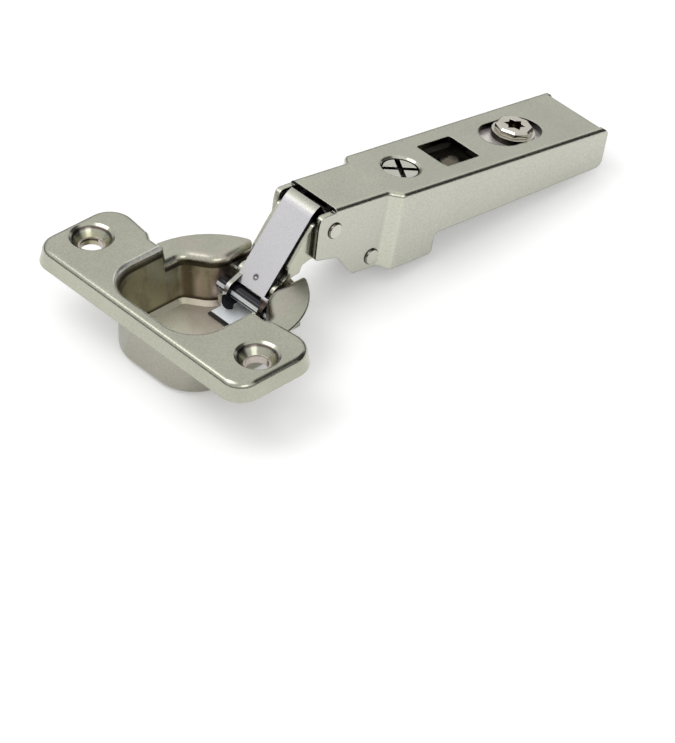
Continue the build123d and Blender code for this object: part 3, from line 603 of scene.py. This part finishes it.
# --- the metals, and which piece has which --------------------------------------------------
METALS = {
    "cup_nickel": dict(tint=(0.45, 0.455, 0.375), shade=(0.40, 0.40, 0.325), roughness=0.21,
                       marks=cup_marks, duller=cup_duller, fleck=0.08),
    "arm_nickel": dict(tint=(0.55, 0.555, 0.46), shade=(0.49, 0.495, 0.41), roughness=0.21,
                       marks=arm_marks, edge=0.4, fleck=0.09),
    "outer_link_steel": dict(tint=(0.665, 0.655, 0.675), shade=(0.62, 0.61, 0.63), roughness=0.28,
                             marks=outer_link_marks, bump=0.01, fleck=0.015),
    "inner_link_steel": dict(tint=(0.52, 0.52, 0.43), shade=(0.44, 0.44, 0.36), roughness=0.22),
    "carrier_steel": dict(tint=(0.40, 0.40, 0.34), shade=(0.34, 0.34, 0.28), roughness=0.3,
                          marks=carrier_marks, metallic=0.7),
    "lever_steel": dict(tint=(0.44, 0.44, 0.38), shade=(0.38, 0.38, 0.32), roughness=0.3),
    "rivet_steel": dict(tint=(0.60, 0.60, 0.54), shade=(0.52, 0.52, 0.46), roughness=0.18),
    "rivet_head_steel": dict(tint=(0.60, 0.59, 0.52), shade=(0.52, 0.51, 0.45), roughness=0.18,
                             marks=rivet_marks),
    "blackened_pin_steel": dict(tint=(0.015, 0.015, 0.02), shade=(0.01, 0.01, 0.012), roughness=0.08,
                                marks=pin_marks, bump=0.01, metallic=0.3, fleck=0.02),
    # spring leaf near white and hardly metallic: partly its pale steel, partly painted light that keeps the
    # half-hidden leaf bright
    "spring_steel": dict(tint=(0.93, 0.97, 1.0), shade=(0.88, 0.93, 0.97), roughness=0.4,
                         marks=spring_marks, stretch=(1, 12, 1), metallic=0.1, fleck=0.03),
    "latch_leaf_steel": dict(tint=(0.16, 0.155, 0.14), shade=(0.11, 0.105, 0.09), roughness=0.3,
                             stretch=(12, 1, 1)),
    "spring_rivet_steel": dict(tint=(0.20, 0.18, 0.14), shade=(0.12, 0.105, 0.08), roughness=0.3),
    "washer_nickel": dict(tint=(0.70, 0.68, 0.62), shade=(0.58, 0.56, 0.50), roughness=0.14,
                          marks=washer_marks),
    "side_screw_nickel": dict(tint=(0.70, 0.69, 0.62), shade=(0.58, 0.57, 0.50), roughness=0.16,
                              marks=side_screw_marks),
    "depth_screw_nickel": dict(tint=(0.74, 0.71, 0.63), shade=(0.60, 0.57, 0.50), roughness=0.12,
                               marks=depth_screw_marks),
}
FINISH = {
    "cup": "cup_nickel",
    "arm": "arm_nickel",
    "outer_link": "outer_link_steel",
    "inner_link": "inner_link_steel",
    "outer_link_cup_pin": "blackened_pin_steel",
    "inner_link_cup_pin": "blackened_pin_steel",
    "outer_link_arm_pin": "rivet_head_steel",
    "inner_link_arm_pin": "rivet_head_steel",
    "cup_spring": "spring_steel",
    "latch_spring": "latch_leaf_steel",
    "latch_spring_rivet": "spring_rivet_steel",
    "side_adjusting_screw": "side_screw_nickel",
    "depth_adjusting_screw": "depth_screw_nickel",
    "depth_screw_washer": "washer_nickel",
    "depth_screw_nut": "carrier_steel",
    "carrier": "carrier_steel",
    "carrier_hook_pin": "rivet_steel",
    "latch_lever": "lever_steel",
    "latch_lever_pin": "rivet_steel",
}


def dress_pieces():
    """Gives every material slot of every CAD node its metal."""
    materials = {name: metal(name, **look) for name, look in METALS.items()}
    for node, name in FINISH.items():
        for slot in frame["nodes"][node].material_slots:
            slot.material = materials[name]


# --- floor ----------------------------------------------------------------------------------
FLOOR_SIZE = 40.0            # m, its far end is the horizon of a low view
FLOOR_GAP = 0.2 * MM
FLOOR_WHITE = 0.78
FLOOR_ROUGHNESS = 0.8
FLOOR_GLOW = 0.3             # as a light table under the object


def make_floor():
    lowest = cad_bounds[0][2]
    bpy.ops.mesh.primitive_plane_add(size=FLOOR_SIZE, location=(0, 0, lowest - FLOOR_GAP))
    floor = bpy.context.object
    floor.name = "floor"
    shader = Shader("floor_white")
    inputs = shader.surface.inputs
    inputs["Base Color"].default_value = (FLOOR_WHITE, FLOOR_WHITE, FLOOR_WHITE, 1)
    inputs["Roughness"].default_value = FLOOR_ROUGHNESS
    inputs["Emission Color"].default_value = (1, 1, 1, 1)
    inputs["Emission Strength"].default_value = FLOOR_GLOW
    floor.data.materials.append(shader.material)


# --- light: a white tent, a dark card in it and two softboxes -------------------------------
TENT_STOPS = ((0.0, 0.06), (0.15, 0.08), (0.31, 0.84), (0.6, 1.0))    # height, grey
TENT_STRENGTH = 0.95
CARD_STRENGTH = 0.05
CARD_DIRECTION = (0.74, -0.42, 0.49)
CARD_EDGE = (0.86, 0.93)             # cosine of the angle from that direction
LIGHT_TARGET = (0.03, 0, 0)          # m
SOFTBOXES = (                        # name, place, width and height in m, power in W
    ("key", (-0.35, 0.25, 0.75), 0.5, 0.5, 2.2),
    ("side", (-0.25, -0.75, 0.6), 0.5, 0.3, 1.0),
)


def make_softbox(name, place, width, height, power):
    light = bpy.data.lights.new(name, "AREA")
    light.shape = "RECTANGLE"
    light.size = width
    light.size_y = height
    light.energy = power
    softbox = bpy.data.objects.new(name, light)
    bpy.context.collection.objects.link(softbox)
    towards = Vector(LIGHT_TARGET) - Vector(place)
    turn = towards.to_track_quat("-Z", "Y").to_matrix().to_4x4()
    softbox.matrix_world = Matrix.Translation(place) @ turn


def tent_colour(nodes, links, direction):
    """White overhead, dark towards the horizon."""
    height = nodes.new("ShaderNodeSeparateXYZ")
    tent = nodes.new("ShaderNodeValToRGB")
    stops = tent.color_ramp.elements
    while len(stops) < len(TENT_STOPS):
        stops.new(1.0)
    for stop, (position, grey) in zip(stops, TENT_STOPS):
        stop.position = position
        stop.color = (grey, grey, grey, 1)
    links.new(direction, height.inputs[0])
    links.new(height.outputs["Z"], tent.inputs["Fac"])
    return tent.outputs["Color"]


def tent_strength(nodes, links, direction):
    """Full strength, and almost none in the direction of the dark card."""
    card = nodes.new("ShaderNodeVectorMath")
    card.operation = "DOT_PRODUCT"
    card.inputs[1].default_value = Vector(CARD_DIRECTION).normalized()
    strength = nodes.new("ShaderNodeMapRange")
    strength.interpolation_type = "SMOOTHSTEP"
    inputs = strength.inputs
    inputs["From Min"].default_value, inputs["From Max"].default_value = CARD_EDGE
    inputs["To Min"].default_value = TENT_STRENGTH
    inputs["To Max"].default_value = CARD_STRENGTH
    links.new(direction, card.inputs[0])
    links.new(card.outputs["Value"], inputs["Value"])
    return strength.outputs["Result"]


def make_tent():
    """World that lights the object from all round, with a dark card that its plating mirrors."""
    world = bpy.data.worlds.new("studio")
    world.use_nodes = True
    nodes, links = world.node_tree.nodes, world.node_tree.links
    background = nodes["Background"].inputs
    direction = nodes.new("ShaderNodeTexCoord").outputs["Generated"]
    links.new(tent_colour(nodes, links, direction), background["Color"])
    links.new(tent_strength(nodes, links, direction), background["Strength"])
    bpy.context.scene.world = world


# --- camera, fitted to the photo ------------------------------------------------------------
PHOTO_WIDTH = 675                    # px
FOCAL_LENGTH = 4752.7                # px
SENSOR_WIDTH = 36.0                  # mm
CAMERA_PLACE = (-0.4601, -0.5002, 0.5202)    # m
CAMERA_RIGHT = (0.7349, -0.6769, 0.0423)
CAMERA_UP = (0.3963, 0.4792, 0.7832)
CAMERA_BACK = (-0.5504, -0.5588, 0.6204)
CAMERA_REACH = (0.01, 100)           # nearest and farthest, m


def make_camera():
    data = bpy.data.cameras.new("photo_camera")
    data.sensor_fit = "HORIZONTAL"
    data.sensor_width = SENSOR_WIDTH
    data.lens = FOCAL_LENGTH * SENSOR_WIDTH / PHOTO_WIDTH
    data.clip_start, data.clip_end = CAMERA_REACH
    camera = bpy.data.objects.new("photo_camera", data)
    bpy.context.collection.objects.link(camera)
    rotation = Matrix((CAMERA_RIGHT, CAMERA_UP, CAMERA_BACK)).transposed()
    camera.matrix_world = Matrix.Translation(CAMERA_PLACE) @ rotation.to_4x4()
    bpy.context.scene.camera = camera


dress_pieces()
make_floor()
make_tent()
for softbox in SOFTBOXES:
    make_softbox(*softbox)
make_camera()
bpy.context.scene.view_settings.view_transform = "Standard"
